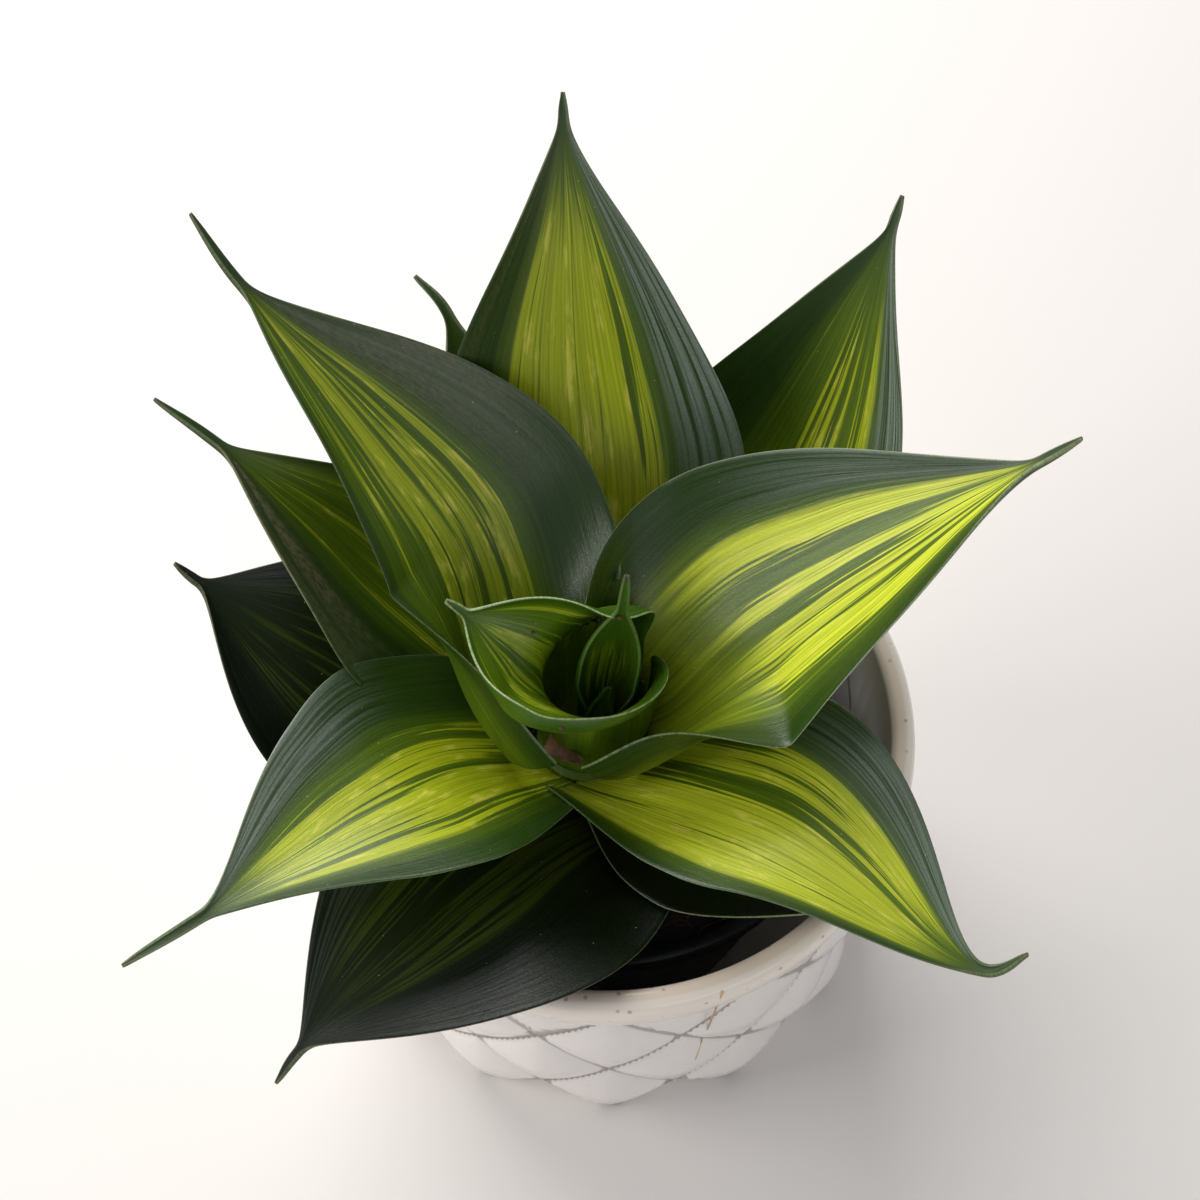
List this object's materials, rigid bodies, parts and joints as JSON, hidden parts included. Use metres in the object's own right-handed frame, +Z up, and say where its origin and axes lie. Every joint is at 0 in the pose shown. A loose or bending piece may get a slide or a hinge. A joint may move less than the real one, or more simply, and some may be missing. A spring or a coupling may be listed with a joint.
{
  "type": "potted birds nest snake plant",
  "caption": "Low rosette of broad variegated leaves with pointed tips, in a nursery pot inside a round white ceramic pot with raised diamonds.",
  "frame": {"origin": "centre of the ceramic pot's foot, on the surface that it stands on", "axes": "+Z up along the pot's axis, -Y towards the side seen in the picture"},
  "size_m": [0.1606, 0.1422, 0.1681],
  "materials": {
    "white_glaze": "glossy, cream towards the rim",
    "black_plastic": "satin",
    "coir_mix": "rough, fibrous",
    "crown_green": "waxy",
    "young_leaf": "waxy, yellow-green with darker stripes",
    "old_leaf": "waxy, yellow-green stripes between dark green margins"
  },
  "bodies": {
    "root": {"ceramic_pot": "white_glaze", "nursery_pot": "black_plastic", "potting_mix": "coir_mix", "crown_stem": "crown_green", "leaf_core": "young_leaf", "leaf_spear": "young_leaf", "leaf_young_cup": "young_leaf", "leaf_right": "old_leaf", "leaf_upper_left": "old_leaf", "leaf_back_tall": "old_leaf", "leaf_back_right": "old_leaf", "leaf_front_right": "old_leaf", "leaf_front_left": "old_leaf", "leaf_left": "old_leaf", "leaf_back_left": "old_leaf", "leaf_front_under": "old_leaf", "leaf_front_low": "old_leaf", "leaf_low_left": "old_leaf"}
  },
  "joints": []
}
